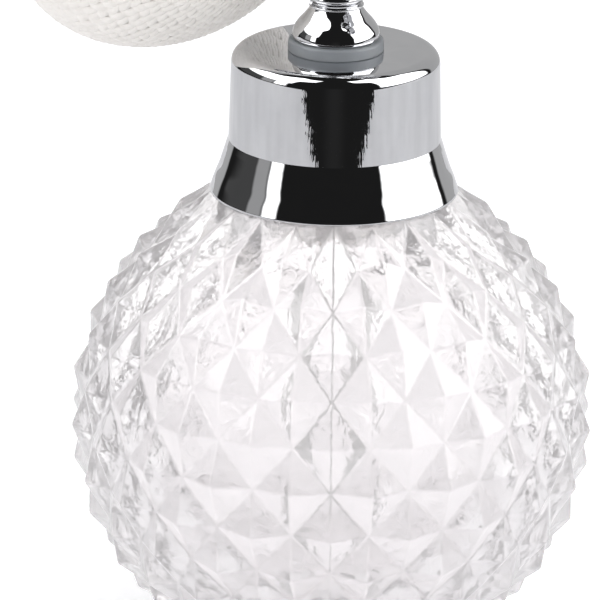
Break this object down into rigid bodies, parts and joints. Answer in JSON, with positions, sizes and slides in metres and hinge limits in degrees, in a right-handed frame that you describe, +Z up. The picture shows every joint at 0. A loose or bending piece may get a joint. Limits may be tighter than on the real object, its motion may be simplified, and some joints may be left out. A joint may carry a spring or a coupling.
{
  "type": "squeeze-bulb perfume bottle",
  "caption": "Round cut-glass perfume bottle with a flared chrome collar and a screw-off spray head worked by a knit-covered squeeze bulb.",
  "frame": {"origin": "centre of the flat base the bottle stands on", "axes": "+Z up along the bottle's axis, +X the way the nozzle points, with the bulb towards -X"},
  "size_m": [0.1001, 0.076, 0.1245],
  "materials": {
    "cut_glass": "clear pressed glass in four-sided pyramids, fire-polished",
    "chrome_plate": "polished chrome plate",
    "core_plastic": "moulded natural polypropylene",
    "foam_seal": "soft white foam liner",
    "bush_brass": "turned brass, unplated",
    "clear_washer": "translucent polyethylene",
    "tube_plastic": "translucent polyethylene tube",
    "gasket_rubber": "black rubber",
    "knit_cotton": "off-white cotton rib knit",
    "bladder_rubber": "natural latex rubber",
    "ball_steel": "polished steel balls",
    "valve_plastic": "white moulded plastic"
  },
  "bodies": {
    "bottle": {"glass_bottle": "cut_glass", "collar_shell": "chrome_plate", "collar_core": "core_plastic", "neck_seal": "foam_seal", "threaded_bush": "bush_brass"},
    "washer": {"seal_washer": "clear_washer"},
    "pickup": {"tube_holder": "core_plastic", "dip_tube": "tube_plastic"},
    "spray_head": {"stem_bell": "chrome_plate", "stem_column": "chrome_plate", "head_body": "chrome_plate", "head_cap": "chrome_plate", "nozzle_cap": "chrome_plate", "nozzle_jet": "bush_brass", "nozzle_gasket": "gasket_rubber", "inlet_gasket": "gasket_rubber", "feed_tube": "bush_brass", "inlet_nipple": "chrome_plate", "check_seat": "gasket_rubber", "bulb_ferrule": "chrome_plate", "bulb_cover": "knit_cotton", "bulb_bladder": "bladder_rubber"},
    "bulb_tail": {"tail_valve_body": "valve_plastic", "tail_retainer": "bush_brass", "tail_cap": "chrome_plate"},
    "outlet_ball": {"check_ball": "ball_steel"},
    "inlet_ball": {"tail_ball": "ball_steel"}
  },
  "joints": [
    {"name": "head_lift", "type": "slide", "parent": "bottle", "child": "washer", "axis": [0, 0, 1], "range_m": [0, 0.1]},
    {"name": "thread_rise", "type": "slide", "parent": "washer", "child": "pickup", "axis": [0, 0, 1], "range_m": [0, 0.003]},
    {"name": "head_unscrew", "type": "hinge", "parent": "pickup", "child": "spray_head", "pos_m": [0, 0, 0.0882], "axis": [0, 0, 1], "range_deg": [0, 1080]},
    {"name": "bulb_squeeze", "type": "slide", "parent": "spray_head", "child": "bulb_tail", "axis": [1, 0, 0], "range_m": [0, 0.016], "stiffness_N_per_m": 400, "deforming": ["bulb_bladder", "bulb_cover"]},
    {"name": "outlet_valve", "type": "slide", "parent": "spray_head", "child": "outlet_ball", "axis": [1, 0, 0], "range_m": [0, 0.0012]},
    {"name": "inlet_valve", "type": "slide", "parent": "bulb_tail", "child": "inlet_ball", "axis": [1, 0, 0], "range_m": [0, 0.0016]}
  ],
  "couplings": [
    {"joint": "thread_rise", "follows": "head_unscrew", "m_per_rad": 0.00015915}
  ]
}
